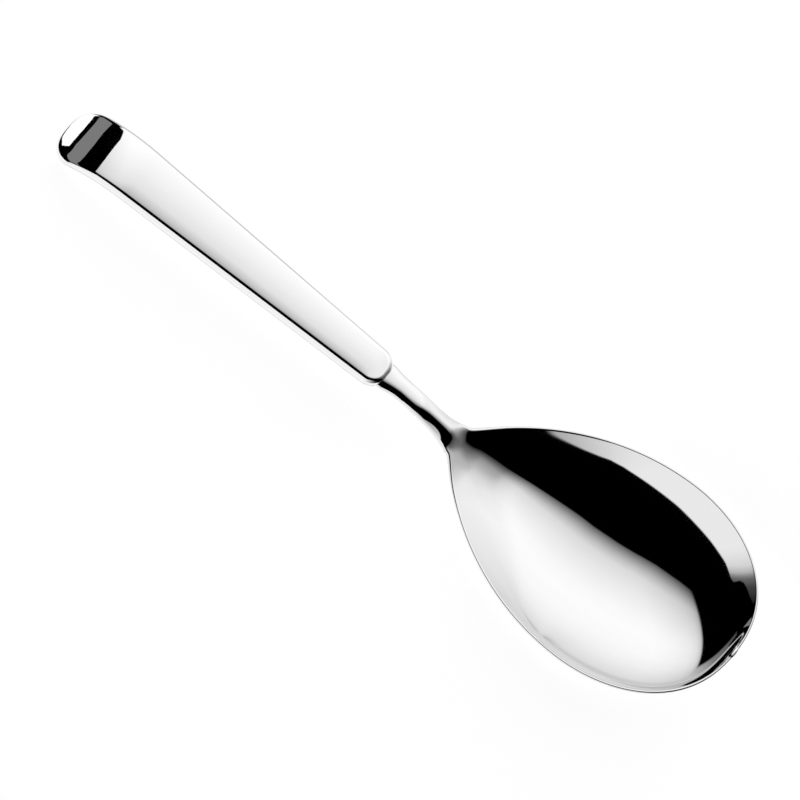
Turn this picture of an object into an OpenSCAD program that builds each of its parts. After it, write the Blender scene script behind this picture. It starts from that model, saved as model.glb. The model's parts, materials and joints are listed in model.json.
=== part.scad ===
// Serving spoon with a deep bowl and a slim hollow handle.
// X runs along the spoon from the handle's end to the bowl's tip, Z is up, and the spoon lies at
// rest on its bowl and on the drooped end of its handle. The origin is at the middle of its
// footprint, on the surface that it lies on.
// The forging and the handle are both plates of varying thickness, bent to a middle surface, with
// rounded edges. Lengths inside the functions are measured along X from the handle's end.

/* [Bowl] */
// Length of the bowl from the start of its hollow to its tip
bowl_len = 103; // [90:1:115]
// Greatest width of the bowl over its rim
bowl_w = 69.6; // [58:0.2:78]
// Depth of the bowl below its rim
bowl_depth = 12; // [9:0.5:16]
// Thickness of the bowl's wall
bowl_wall = 1.7; // [1.2:0.1:2.4]
// Thickness of the bowl's rim
rim_t = 1; // [0.8:0.1:1.6]
// How far into the neck the bowl's hollow starts
hollow_lead = 3; // [1:0.5:6]
// Distance from the tip to the widest place
tip_to_widest = 40.2; // [32:0.2:50]
// Angle of the rim to the table, rising to the tip
rim_angle = 6.3; // [3:0.1:10]

/* [Neck] */
// Length of the neck from the handle's nose to the start of the bowl's hollow
neck_len = 27; // [23:1:36]
// Width of the neck at its slimmest
neck_w = 7.2; // [5.5:0.1:9]
// Thickness of the neck at its slimmest
neck_t = 3.1; // [2.9:0.1:4.6]
// Thickness of the neck's rounded edges
neck_edge_t = 2.7; // [2:0.1:2.9]
// Rise of the neck's ridge over its edges where it meets the bowl
root_ridge = 1; // [0.4:0.05:1.4]
// Length over which the ridge runs out where the bowl starts
ridge_end_len = 4; // [3:0.5:8]
// Distance from the handle's nose to the neck's slimmest place
nose_to_slimmest = 13.4; // [10:0.2:16]
// Length of the heel, over which the neck thins out under the bowl
heel_len = 18; // [12:1:26]

/* [Handle] */
// Length of the handle
handle_len = 120; // [105:1:135]
// Width of the handle near its drooped end
handle_end_w = 20.4; // [17:0.2:23]
// Width of the handle behind its nose
handle_nose_w = 12.4; // [11.6:0.2:15]
// Radius of the corners of the nose, seen from above
nose_corner_r = 5.6; // [3:0.2:5.6]
// Length over which the outline of the drooped end is rounded
end_round_len = 7; // [5:0.2:9]
// Thickness of the handle at its edges
handle_t = 4.2; // [4.2:0.1:5]
// Rise of the handle's upper face over its edges where it is widest
handle_crown = 0.45; // [0:0.05:0.6]
// Thickness of the sheet of the handle's shells
shell_wall = 0.6; // [0.45:0.05:0.6]
// Step from the handle's side to the neck at the nose
nose_step = 1.8; // [1.4:0.1:2.4]
// Angle of the straight part of the handle to the table, rising to the bowl
handle_angle = 0.9; // [0.4:0.1:4]
// Length of the drooped end
droop_len = 27; // [20:1:36]
// How far the end droops below the line of the handle
droop = 8.7; // [5:0.1:11]

/* [Joint] */
// Length of the full neck inside the handle's mouth
neck_inside = 8.4; // [6:0.2:12]
// Length of the tang inside the handle
tang_len = 45; // [30:1:60]
// Width of the tang
tang_w = 4.4; // [3:0.1:5.5]
// Thickness of the tang
tang_t = 1.8; // [1.4:0.1:2.2]
// Distance that the cement reaches beyond the tang
cement_past = 12; // [6:1:20]
// Height of the weld bead between the shells
weld_h = 0.3; // [0.2:0.05:0.5]
// Gap between the neck and the handle's mouth, filled with braze
braze_gap = 0.16; // [0.1:0.02:0.2]
// Least height of the hollow above and below the neck's braze
braze_room = 0.04; // [0.02:0.02:0.1]

/* [Hidden] */

steel = [0.80, 0.81, 0.82];
steel_low = [0.70, 0.71, 0.73];
bead_grey = [0.58, 0.59, 0.60];
braze_grey = [0.64, 0.63, 0.60];
cement_white = [0.85, 0.83, 0.77];

// How full the bowl's outline is towards the neck and towards the tip: 0.5 is an ellipse
neck_side_share = 0.77;
tip_side_share = 0.44;
// How quickly the depth fades towards the neck and towards the tip
neck_depth_share = 1.06;
tip_depth_share = 0.65;
// Section of the hollow at its start, where 0 is a parabola and more is nearer to a valley with
// straight sides, and the part of the way to the widest place over which it turns into an arc
valley_share = 1.8;
valley_len_share = 0.74;
// Section of the neck's ridge, where 2 is an arc and less is nearer to a roof
ridge_share = 1.2;
ridge_round_share = 0.01;
// Roundness of the outline at the handle's drooped end, where 2 is an ellipse
end_corner_share = 2.6;
// How sharply the handle's end bends down
droop_bend_share = 2.3;
// How the neck's edge runs into the bowl's rim
blend_share = 2.6;
flare_bend_share = 2.8;
// Greatest slope of a skin against the middle surface
steepest_share = 0.9;
// Angle over which the rows across a plate are spread
row_spread = 62;

// Meshing counts
neck_stations = 16;
root_stations = 26;
tip_stations = 18;
handle_end_stations = 8;
handle_stations = 18;
bowl_rows = 22;
handle_rows = 6;
edge_steps = 6;
shell_steps = 4;
oval_steps = 28;
level_steps = 200;
settle_steps = 8;

// Places along the spoon
root_x = handle_len + neck_len;
overall_len = root_x + bowl_len;
tip_x = overall_len - rim_t / 2;
widest_x = overall_len - tip_to_widest;
slimmest_x = handle_len + nose_to_slimmest;
hollow_x = root_x - hollow_lead;
tang_x = handle_len - tang_len;
// Steps that keep the sums clear of the outline's ends, and an overrun for cuts
small_step = overall_len / 20000;
overrun = handle_t;

// Middle surface of the bowl
edge_half_w = (bowl_w - rim_t) / 2;
neck_side_len = widest_x - root_x;
tip_side_len = tip_x - widest_x;
hollow_side_len = widest_x - hollow_x;

// Falls from 1 at the widest place to 0 at the given distance from it
function fullness(x, neck_len_to, tip_len_to) =
    let (pos = x < widest_x ? (widest_x - x) / neck_len_to : (x - widest_x) / tip_len_to)
    1 - pow(min(1, pos), 2);
function bowl_half_w(x) =
    let (side_share = x < widest_x ? neck_side_share : tip_side_share)
    edge_half_w * pow(fullness(x, neck_side_len, tip_side_len), side_share);
function hollow(x) =
    let (depth_share = x < widest_x ? neck_depth_share : tip_depth_share)
    bowl_depth * pow(fullness(x, hollow_side_len, tip_side_len), depth_share);

// Blend from 0 to 1 with level ends
function ease(t) = t <= 0 ? 0 : t >= 1 ? 1 : t * t * (3 - 2 * t);

// The neck's size in the handle's mouth
mouth_w = handle_nose_w - 2 * nose_step;
mouth_t = handle_t - 2 * (shell_wall + braze_gap + braze_room);

// Half thickness of the forging at its middle and at its edge, slimmer towards the bowl
mouth_edge_t = mouth_t * mouth_t / mouth_w;
function thin_pos(x) = ease((x - slimmest_x) / (root_x + heel_len - slimmest_x));
function mouth_pos(x) = ease((slimmest_x - x) / nose_to_slimmest);
function blend3(x, at_neck, at_bowl, at_mouth) =
    at_neck + (at_bowl - at_neck) * thin_pos(x) + (at_mouth - at_neck) * mouth_pos(x);
function half_t(x) = blend3(x, neck_t, bowl_wall, mouth_t) / 2;
function edge_half_t(x) = blend3(x, neck_edge_t, rim_t, mouth_edge_t) / 2;

// Half width of the neck's middle surface, and of the whole forging's
neck_mid_half = (neck_w - neck_edge_t) / 2;
mouth_mid_half = (mouth_w - mouth_edge_t) / 2;
flare_pos_len = root_x - slimmest_x;
function neck_half_w(x) = neck_mid_half
    + (mouth_mid_half - neck_mid_half) * pow(min(1, max(0, slimmest_x - x) / nose_to_slimmest), 2)
    + neck_mid_half * pow(min(1, max(0, x - slimmest_x) / flare_pos_len), flare_bend_share);
// The neck's own width fades out along the bowl so that the tip stays closed
function faded_neck_w(x) = neck_half_w(x) * (1 - ease((x - root_x) / neck_side_len));
function forging_half_w(x) =
    pow(pow(bowl_half_w(x), blend_share) + pow(faded_neck_w(x), blend_share), 1 / blend_share);

// Height of the rim line at rest, from the lowest point of the bowl's underside
rim_rise = tan(rim_angle);
rim_widest_z = bowl_wall / 2 + max([for (i = [0:level_steps])
    let (x = hollow_x + i / level_steps * (tip_x - hollow_x))
    hollow(x) - rim_rise * (x - widest_x)]);
function rim_z(x) = rim_widest_z + rim_rise * (x - widest_x);

// Height of the handle's middle line at rest, on its drooped end
handle_rise = tan(handle_angle);
handle_end_x = handle_t / 2;
handle_nose_x = handle_len - handle_t / 2;
function droop_pos(x) = max(0, droop_len - x) / (droop_len - handle_end_x);
function line_z(x) = handle_t / 2 + droop + handle_rise * (x - handle_end_x);
function handle_z(x) = line_z(x) - droop * pow(droop_pos(x), droop_bend_share);

// The neck's line leaves the handle in line with it and runs into the rim line
neck_from_x = handle_len + handle_t;
neck_to_x = root_x + heel_len / 2;
function neck_z(x) =
    let (len = neck_to_x - neck_from_x)
    let (t = (x - neck_from_x) / len)
    let (from_z = line_z(neck_from_x))
    let (to_z = rim_z(neck_to_x))
    from_z * (2 * pow(t, 3) - 3 * pow(t, 2) + 1) + to_z * (3 * pow(t, 2) - 2 * pow(t, 3))
    + len * handle_rise * (pow(t, 3) - 2 * pow(t, 2) + t) + len * rim_rise * (pow(t, 3) - pow(t, 2));
function edge_z(x) = x < neck_from_x ? line_z(x) : x > neck_to_x ? rim_z(x) : neck_z(x);

// Rise of the neck's ridge at its middle, and how it falls across to the edges
ridge_start_x = handle_len + nose_to_slimmest / 2;
ridge_top_x = root_x - ridge_end_len / 2;
function ridge(x) =
    let (rise = root_ridge * ease((x - ridge_start_x) / (ridge_top_x - ridge_start_x)))
    rise * (1 - ease((x - ridge_top_x) / ridge_end_len));
function ridge_fall(v) = pow(v * v + ridge_round_share, ridge_share / 2);
function ridge_shape(v) = (ridge_fall(1) - ridge_fall(v)) / (ridge_fall(1) - ridge_fall(0));

// Height of the hollow's section over its lowest point: an arc in the bowl, and a valley at its start
function valley_pos(x) = 1 - ease((x - hollow_x) / (valley_len_share * hollow_side_len));
function bulge(x) =
    let (w = forging_half_w(x), h = hollow(x))
    let (arc = 2 * h * w / (w * w + h * h))
    valley_share * valley_pos(x) - arc * arc * (1 - valley_pos(x));
function section_rise(v, h, b) = h * (1 + sqrt(1 + b)) * v * v / (1 + sqrt(max(0, 1 + b * v * v)));

// Middle surface of the forging, hung between the edge lines
function forging_z(x, y) =
    let (v = y / forging_half_w(x))
    edge_z(x) - hollow(x) + section_rise(v, hollow(x), bulge(x)) + ridge(x) * ridge_shape(v);

// Height of the surface that a skin follows. The handle's upper skins are crowned over its middle
function surface_z(x, y, kind) = kind == "forging" ? forging_z(x, y)
    : kind == "crowned" ? handle_z(x) + crown_z(x, y)
    : handle_z(x);

// A plate is given by its stations: for each, the place along X, the half width of the middle
// surface, and the half thickness at the middle and at the edge
function station_mid(station, v, kind) =
    let (x = station[0], y = v * station[1])
    [x, y, surface_z(x, y, kind)];
function unit(a) = a / norm(a);
function slope_x(x, y, kind) =
    (surface_z(x + small_step, y, kind) - surface_z(x - small_step, y, kind)) / (2 * small_step);
function slope_y(x, y, kind) = kind == "handle"
    ? 0
    : (surface_z(x, y + small_step, kind) - surface_z(x, y - small_step, kind)) / (2 * small_step);
function normal_at(p, kind) = unit([-slope_x(p[0], p[1], kind), -slope_y(p[0], p[1], kind), 1]);

// Half thickness across a station falls from the middle to the edge as it does on an ellipse, up to
// the steepest slope
function thin_share(station) = 1 - pow(station[3] / station[2], 2);
function across_t(station, v) = station[2] * sqrt(1 - thin_share(station) * v * v);
function across_slope(station, v) =
    -station[2] * thin_share(station) * v / (station[1] * sqrt(1 - thin_share(station) * v * v));
function skin_point(station, v, side, kind) =
    let (mid = station_mid(station, v, kind))
    let (n = normal_at(mid, kind))
    let (across = unit(cross(n, [1, 0, 0])))
    let (h = across_t(station, v))
    let (g = max(-steepest_share, min(steepest_share, across_slope(station, v))))
    mid - h * g * across + side * h * sqrt(1 - g * g) * n;

// At a place on the outline: the middle surface's point, its outward direction and its normal
function edge_frame(station, v, out, kind) =
    let (mid = station_mid(station, v, kind))
    let (n = normal_at(mid, kind))
    [mid, unit(out - (out * n) * n), n];
// The point at an angle round the edge, from straight out (0) to the upper skin (90)
function round_point(frame, r, angle) = frame[0] + r * (cos(angle) * frame[1] + sin(angle) * frame[2]);

// The rounded edge: steps of an arc from the upper skin to the lower one
function edge_points(station, v, out, kind) =
    let (frame = edge_frame(station, v, out, kind))
    let (from = acos(min(steepest_share, -across_slope(station, 1))))
    [for (k = [1:edge_steps - 1]) round_point(frame, across_t(station, v), from * (1 - 2 * k / edge_steps))];

// Outward direction across the outline at a station
function outline_out(stations, i, side) =
    let (a = stations[max(0, i - 1)], b = stations[min(len(stations) - 1, i + 1)])
    unit([a[1] - b[1], side * (b[0] - a[0]), 0]);

// Rows are spaced more closely towards the edges, where the walls are steep
function row_share(j, rows) = sin(row_spread * (2 * j / rows - 1)) / sin(row_spread);

// The outline as [station, row, outward direction]: along the far side, round the last station, back
// along the near side and, unless the start is open, round the first station
function outline_of(stations, rows, open_start) =
    let (last = len(stations) - 1)
    concat(
        [for (i = [0:last - 1]) [i, rows, outline_out(stations, i, 1)]],
        [for (j = [rows:-1:0]) [last, j, [1, 0, 0]]],
        [for (i = [last - 1:-1:0]) [i, 0, outline_out(stations, i, -1)]],
        open_start ? [] : [for (j = [1:rows - 1]) [0, j, [-1, 0, 0]]]);
function skin_grid(stations, rows, side, kind) =
    [for (s = stations) for (j = [0:rows]) skin_point(s, row_share(j, rows), side, kind)];
// Two triangles between four corners that run round it, seen from outside, or from inside
function quad(a, b, c, d, outside) = outside ? [[a, b, c], [a, c, d]] : [[a, c, b], [a, d, c]];
function grid_faces(count, rows, base, outside) =
    [for (i = [0:count - 2]) for (j = [0:rows - 1])
        let (a = base + i * (rows + 1) + j)
        each quad(a, a + 1, a + rows + 2, a + rows + 1, outside)];

// A closed solid from stations, whose first station ends flat if the start is open
module plate(stations, rows, kind, top_kind, open_start) {
    count = len(stations);
    outline = outline_of(stations, rows, open_start);
    total = len(outline);
    inner = edge_steps - 1;
    base = count * (rows + 1);
    edge = [for (o = outline) each edge_points(stations[o[0]], row_share(o[1], rows), o[2], kind)];
    points = concat(skin_grid(stations, rows, 1, top_kind), skin_grid(stations, rows, -1, kind), edge);
    function ring(o, k) = k == 0 ? outline[o][0] * (rows + 1) + outline[o][1]
        : k == edge_steps ? base + outline[o][0] * (rows + 1) + outline[o][1]
        : 2 * base + o * inner + k - 1;
    strips = [for (o = [0:total - (open_start ? 2 : 1)]) for (k = [0:edge_steps - 1])
        let (p = (o + 1) % total)
        each quad(ring(o, k), ring(o, k + 1), ring(p, k + 1), ring(p, k), true)];
    cap = open_start ? [[for (j = [rows:-1:0]) j, for (k = [1:inner]) ring(total - 1, k),
        for (j = [0:rows]) base + j, for (k = [inner:-1:1]) ring(0, k)]] : [];
    polyhedron(
        points = points,
        faces = concat(grid_faces(count, rows, 0, true), grid_faces(count, rows, base, false), strips, cap),
        convexity = 6);
}

function forging_station(x) = [x, forging_half_w(x), half_t(x), edge_half_t(x)];
forging_start_x = handle_len - neck_inside;
forging_stations = concat(
    [for (i = [0:neck_stations - 1])
        forging_station(forging_start_x + i / neck_stations * (root_x - forging_start_x))],
    [for (i = [0:root_stations - 1])
        forging_station(root_x + i / root_stations * neck_side_len)],
    [for (i = [0:tip_stations])
        forging_station(widest_x + (tip_side_len - 2 * small_step) * sin(90 * i / tip_stations))]);

// The handle's outline tapers from its drooped end to its nose and is rounded at both
function taper_w(x) = handle_end_w + (handle_nose_w - handle_end_w) * x / handle_len;
nose_mid_r = nose_corner_r - handle_t / 2;
// Thickness of the hollow inside the shells
inner_t = handle_t - 2 * shell_wall;
function end_share(d) = d >= end_round_len
    ? 1
    : pow(1 - pow(1 - max(0, d) / end_round_len, end_corner_share), 1 / end_corner_share);
function nose_cut(d) = d >= nose_mid_r
    ? 0
    : nose_mid_r - sqrt(pow(nose_mid_r, 2) - pow(nose_mid_r - max(0, d), 2));
function handle_half_w(x) =
    (taper_w(x) - handle_t) / 2 * end_share(x - handle_end_x) - nose_cut(handle_nose_x - x);
// Rise of the upper face, which runs out at the drooped end and at the nose
widest_mid_half = (handle_end_w - handle_t) / 2;
function crown_z(x, y) =
    let (w = max(small_step, handle_half_w(x)))
    let (fade = ease((x - handle_end_x) / end_round_len) * ease((handle_nose_x - x) / nose_corner_r))
    handle_crown * fade * w / widest_mid_half * max(0, 1 - pow(y / w, 2));
function handle_station(x, t) = [x, handle_half_w(x), t / 2, t / 2];
straight_from_x = handle_end_x + end_round_len;
straight_to_x = handle_nose_x - nose_mid_r;
function handle_stations_for(t) = concat(
    [for (i = [0:handle_end_stations - 1])
        let (d = (end_round_len - small_step) * cos(90 * i / handle_end_stations))
        handle_station(straight_from_x - d, t)],
    [for (i = [0:handle_stations - 1])
        handle_station(straight_from_x + i / handle_stations * (straight_to_x - straight_from_x), t)],
    [for (i = [0:handle_end_stations])
        handle_station(straight_to_x + nose_mid_r * sin(90 * i / handle_end_stations), t)]);

// Height above the middle surface at which a shell ends: on the weld bead, or over the mouth
oval_half_w = mouth_w / 2 + braze_gap;
oval_half_h = mouth_t / 2 + braze_gap;
function end_level(x, y) = x < handle_len / 2 || abs(y) >= oval_half_w
    ? weld_h / 2
    : max(weld_h / 2, oval_half_h * sqrt(1 - pow(y / oval_half_w, 2)));
// Settled in a few steps, since the point moves along the rounded edge as its level changes
function settled_level(frame, r, level, steps) =
    let (p = round_point(frame, r, asin(level / r)))
    steps == 0 ? level : settled_level(frame, r, end_level(frame[0][0], p[1]), steps - 1);

// Points of the rounded edge of a shell, from its skin to the level where it ends
function shell_edge(stations, outline, side) =
    [for (o = outline)
        let (station = stations[o[0]], r = station[2])
        let (frame = edge_frame(station, row_share(o[1], handle_rows), o[2], "handle"))
        let (last = asin(settled_level(frame, r, weld_h / 2, settle_steps) / r))
        for (k = [1:shell_steps]) round_point(frame, r, side * (90 - (90 - last) * k / shell_steps))];

// Half of the handle's skin as a closed sheet, from the weld bead up or, with side -1, down
module half_shell(side) {
    stations = handle_stations_for(handle_t);
    inside = handle_stations_for(inner_t);
    outline = outline_of(stations, handle_rows, false);
    count = len(stations);
    total = len(outline);
    base = count * (handle_rows + 1);
    up = side > 0;
    kind = up ? "crowned" : "handle";
    points = concat(
        skin_grid(stations, handle_rows, side, kind),
        skin_grid(inside, handle_rows, side, kind),
        shell_edge(stations, outline, side),
        shell_edge(inside, outline, side));
    function ring(o, k, skin) = k == 0
        ? skin * base + outline[o][0] * (handle_rows + 1) + outline[o][1]
        : 2 * base + skin * total * shell_steps + o * shell_steps + k - 1;
    strips = [for (o = [0:total - 1]) for (k = [0:shell_steps - 1]) for (skin = [0:1])
        let (p = (o + 1) % total, m = k + 1, outward = up == (skin == 0))
        each quad(ring(o, k, skin), ring(o, m, skin), ring(p, m, skin), ring(p, k, skin), outward)];
    meeting = [for (o = [0:total - 1])
        let (p = (o + 1) % total, k = shell_steps)
        each quad(ring(o, k, 0), ring(o, k, 1), ring(p, k, 1), ring(p, k, 0), up)];
    skins = concat(grid_faces(count, handle_rows, 0, up), grid_faces(count, handle_rows, base, !up));
    polyhedron(points = points, faces = concat(skins, strips, meeting), convexity = 6);
}

// The weld bead fills the space between the two shells, flush with their skins, from one side of the
// mouth round the handle to the other
module weld_loop() {
    stations = handle_stations_for(handle_t);
    outline = outline_of(stations, handle_rows, false);
    corners = [for (o = outline)
        let (frame = edge_frame(stations[o[0]], row_share(o[1], handle_rows), o[2], "handle"))
        let (outer = asin(weld_h / handle_t), inner = asin(weld_h / inner_t))
        [
            round_point(frame, handle_t / 2, outer), round_point(frame, handle_t / 2, -outer),
            round_point(frame, inner_t / 2, -inner), round_point(frame, inner_t / 2, inner)
        ]];
    in_mouth = [for (i = [0:len(corners) - 1])
        if (corners[i][0][0] > handle_len / 2 && abs(corners[i][2][1]) < oval_half_w) i];
    chain = concat(
        [for (i = [max(in_mouth) + 1:len(corners) - 1]) corners[i]],
        [for (i = [0:min(in_mouth) - 1]) corners[i]]);
    last = 4 * (len(chain) - 1);
    sides = [for (o = [0:len(chain) - 2]) for (k = [0:3])
        let (a = 4 * o + k, b = 4 * o + (k + 1) % 4)
        each quad(a, b, b + 4, a + 4, true)];
    polyhedron(
        points = [for (c = chain) each c],
        faces = concat(sides, quad(0, 3, 2, 1, true), quad(last, last + 1, last + 2, last + 3, true)),
        convexity = 6);
}

// Oval across the neck's line, the size of the neck in the mouth and a gap round it
module mouth_oval(gap) {
    polygon([for (i = [0:oval_steps - 1]) let (a = 360 * i / oval_steps)
        [(mouth_t / 2 + gap) * cos(a), (mouth_w / 2 + gap) * sin(a)]]);
}
module along_neck(from_x, to_x) {
    translate([from_x, 0, line_z(from_x)])
        rotate([0, 90 - handle_angle, 0])
            linear_extrude(height = (to_x - from_x) / cos(handle_angle))
                children();
}
braze_from_x = handle_nose_x - handle_t / 2;
nose_front_half = handle_nose_w / 2 - nose_corner_r;
nose_corner_run = sqrt(pow(nose_corner_r, 2) - pow(oval_half_w - nose_front_half, 2));
braze_to_x = handle_len - nose_corner_r + nose_corner_run;

module forging_body() {
    plate(forging_stations, bowl_rows, "forging", "forging", true);
    translate([tang_x, 0, line_z(tang_x)])
        rotate([0, -handle_angle, 0])
            translate([0, -tang_w / 2, -tang_t / 2])
                cube([forging_start_x - tang_x + overrun, tang_w, tang_t]);
}

// Moves a piece from the handle's end to the middle of the footprint
module placed() {
    translate([-overall_len / 2, 0, 0]) children();
}

module bowl_and_neck() {
    color(steel) placed() forging_body();
}

module handle_top_shell() {
    color(steel) placed() half_shell(1);
}

module handle_bottom_shell() {
    color(steel_low) placed() half_shell(-1);
}

module seam_weld() {
    color(bead_grey) placed() weld_loop();
}

module neck_braze() {
    color(braze_grey) placed() along_neck(braze_from_x, braze_to_x) difference() {
        mouth_oval(braze_gap);
        mouth_oval(0);
    }
}

module tang_cement() {
    from_x = tang_x - cement_past;
    color(cement_white) placed() difference() {
        intersection() {
            plate(handle_stations_for(inner_t), handle_rows, "handle", "crowned", false);
            translate([from_x, -handle_end_w / 2, 0])
                cube([braze_from_x - from_x, handle_end_w, line_z(handle_len) + handle_t]);
        }
        forging_body();
    }
}

bowl_and_neck();
handle_top_shell();
handle_bottom_shell();
seam_weld();
neck_braze();
tang_cement();
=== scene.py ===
"""Looks of the serving spoon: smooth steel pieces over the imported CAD, in a small white studio.

The spoon lies at rest on a pale floor under a tent of light. The tent is bright overhead and on the
far side, and dark on the near side but for a white card. That draws the bands in the steel. The
tent and the small cards are fitted to the photograph, so they are more than a plain studio.
"""

import json

import bpy
import numpy as np
from mathutils import Matrix, Vector

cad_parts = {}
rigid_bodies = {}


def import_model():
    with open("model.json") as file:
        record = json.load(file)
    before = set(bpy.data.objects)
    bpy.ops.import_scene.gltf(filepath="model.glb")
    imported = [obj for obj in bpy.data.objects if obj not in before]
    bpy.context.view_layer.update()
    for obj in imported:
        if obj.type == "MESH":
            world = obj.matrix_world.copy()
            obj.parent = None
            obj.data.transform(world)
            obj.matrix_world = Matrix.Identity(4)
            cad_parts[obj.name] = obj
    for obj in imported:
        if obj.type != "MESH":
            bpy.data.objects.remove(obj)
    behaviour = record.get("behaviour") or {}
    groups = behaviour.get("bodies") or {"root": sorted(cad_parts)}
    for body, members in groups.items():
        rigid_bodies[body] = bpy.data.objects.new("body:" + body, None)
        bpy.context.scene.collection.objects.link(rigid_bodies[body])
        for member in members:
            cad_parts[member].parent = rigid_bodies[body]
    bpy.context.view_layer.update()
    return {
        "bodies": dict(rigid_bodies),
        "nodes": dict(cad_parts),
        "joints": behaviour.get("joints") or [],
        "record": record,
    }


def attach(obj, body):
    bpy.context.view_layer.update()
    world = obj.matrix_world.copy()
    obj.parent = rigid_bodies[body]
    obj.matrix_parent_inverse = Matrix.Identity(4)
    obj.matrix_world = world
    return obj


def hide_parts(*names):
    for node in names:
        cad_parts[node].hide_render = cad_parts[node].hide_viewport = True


# Lengths of the spoon in millimetres, along X from the handle's end, as in the part's source
MM = 0.001
BOWL_LEN = 103
BOWL_W = 69.6
BOWL_DEPTH = 12
BOWL_WALL = 1.7
RIM_T = 1
HOLLOW_LEAD = 3
TIP_TO_WIDEST = 40.2
RIM_ANGLE = 6.3
NECK_LEN = 27
NECK_W = 7.2
NECK_T = 3.1
NECK_EDGE_T = 2.7
ROOT_RIDGE = 1
RIDGE_END_LEN = 4
NOSE_TO_SLIMMEST = 13.4
HEEL_LEN = 18
HANDLE_LEN = 120
HANDLE_END_W = 20.4
HANDLE_NOSE_W = 12.4
NOSE_CORNER_R = 5.6
END_ROUND_LEN = 7
HANDLE_T = 4.2
HANDLE_CROWN = 0.45
SHELL_WALL = 0.6
NOSE_STEP = 1.8
HANDLE_ANGLE = 0.9
DROOP_LEN = 27
DROOP = 8.7
NECK_INSIDE = 8.4
WELD_H = 0.3
BRAZE_GAP = 0.16
BRAZE_ROOM = 0.04

# Powers and shares that shape the outlines, the sections and the bends
NECK_SIDE_POWER = 0.77
TIP_SIDE_POWER = 0.44
NECK_DEPTH_POWER = 1.06
TIP_DEPTH_POWER = 0.65
VALLEY_SHARE = 1.8
VALLEY_LEN_SHARE = 0.74
RIDGE_POWER = 1.2
RIDGE_ROUND = 0.01
END_CORNER_POWER = 2.6
DROOP_POWER = 2.3
BLEND_POWER = 2.6
FLARE_POWER = 2.8

# Places along the spoon
ROOT_X = HANDLE_LEN + NECK_LEN
OVERALL_LEN = ROOT_X + BOWL_LEN
TIP_X = OVERALL_LEN - RIM_T / 2
WIDEST_X = OVERALL_LEN - TIP_TO_WIDEST
HOLLOW_X = ROOT_X - HOLLOW_LEAD
RIDGE_START_X = HANDLE_LEN + NOSE_TO_SLIMMEST / 2
RIDGE_TOP_X = ROOT_X - RIDGE_END_LEN / 2
SLIMMEST_X = HANDLE_LEN + NOSE_TO_SLIMMEST
NECK_SIDE_LEN = WIDEST_X - ROOT_X
TIP_SIDE_LEN = TIP_X - WIDEST_X
HOLLOW_SIDE_LEN = WIDEST_X - HOLLOW_X
HANDLE_END_X = HANDLE_T / 2
HANDLE_NOSE_X = HANDLE_LEN - HANDLE_T / 2
NOSE_MID_R = NOSE_CORNER_R - HANDLE_T / 2
SMALL_STEP = OVERALL_LEN / 20000
NECK_FROM_X = HANDLE_LEN + HANDLE_T
NECK_TO_X = ROOT_X + HEEL_LEN / 2
RIM_RISE = np.tan(np.radians(RIM_ANGLE))
HANDLE_RISE = np.tan(np.radians(HANDLE_ANGLE))

# Sizes in the handle's mouth
INNER_T = HANDLE_T - 2 * SHELL_WALL
MOUTH_W = HANDLE_NOSE_W - 2 * NOSE_STEP
MOUTH_T = HANDLE_T - 2 * (SHELL_WALL + BRAZE_GAP + BRAZE_ROOM)
MOUTH_EDGE_T = MOUTH_T**2 / MOUTH_W
OVAL_HALF_W = MOUTH_W / 2 + BRAZE_GAP
OVAL_HALF_H = MOUTH_T / 2 + BRAZE_GAP

# The meshes: the steepest slope of a skin against its middle surface, how the rows are spread, and
# the counts of stations along a piece, rows across it and steps round its edges
STEEPEST = 0.9
ROW_SPREAD = np.radians(62)
NECK_STATIONS = 60
ROOT_STATIONS = 90
TIP_STATIONS = 60
BOWL_ROWS = 80
HANDLE_END_STATIONS = 24
DROOP_STATIONS = 40
HANDLE_STATIONS = 40
HANDLE_ROWS = 20
EDGE_STEPS = 12
SHELL_STEPS = 10
OVAL_STEPS = 64
RIM_SAMPLES = 201
LEVEL_PASSES = 12

# Finish of the metals: how much light they reflect, how rough they are, and the noise in both. The
# handle is set lighter than the forging only because the photograph shows it so.
FORGED_GREY = (0.84, 0.84, 0.84)
HANDLE_GREY = (0.91, 0.91, 0.91)
POLISH = 0.03
POLISH_SPREAD = 0.3
TINT_SPREAD = 0.015
BUFFING_STRETCH = (60, 1800, 1800)
BUFFING_DETAIL = 3
WELD_GREY = (0.62, 0.63, 0.64)
WELD_ROUGHNESS = 0.25
BRAZE_GREY = (0.70, 0.69, 0.66)
BRAZE_ROUGHNESS = 0.3
DULL_DARKEST = 0.85
METAL_GRAIN = 2500
METAL_DETAIL = 2

# The cement
CEMENT_DARK = (0.55, 0.52, 0.44)
CEMENT_LIGHT = (0.74, 0.71, 0.62)
CEMENT_ROUGHNESS = 0.9
CEMENT_GRAIN = 900
CEMENT_DETAIL = 6


def ease(t):
    """Rises from 0 to 1 with level ends."""
    t = np.clip(t, 0, 1)
    return t * t * (3 - 2 * t)


def unit(a):
    return a / np.linalg.norm(a, axis=-1, keepdims=True)


# ---- middle surface of the forging


def fullness(x, neck_len_to, tip_len_to):
    """Falls from 1 at the widest place to 0 at the given distance from it."""
    pos = np.where(x < WIDEST_X, (WIDEST_X - x) / neck_len_to, (x - WIDEST_X) / tip_len_to)
    return 1 - np.minimum(1, pos) ** 2


def bowl_half_w(x):
    power = np.where(x < WIDEST_X, NECK_SIDE_POWER, TIP_SIDE_POWER)
    return (BOWL_W - RIM_T) / 2 * fullness(x, NECK_SIDE_LEN, TIP_SIDE_LEN) ** power


def hollow(x):
    power = np.where(x < WIDEST_X, NECK_DEPTH_POWER, TIP_DEPTH_POWER)
    return BOWL_DEPTH * fullness(x, HOLLOW_SIDE_LEN, TIP_SIDE_LEN) ** power


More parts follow.
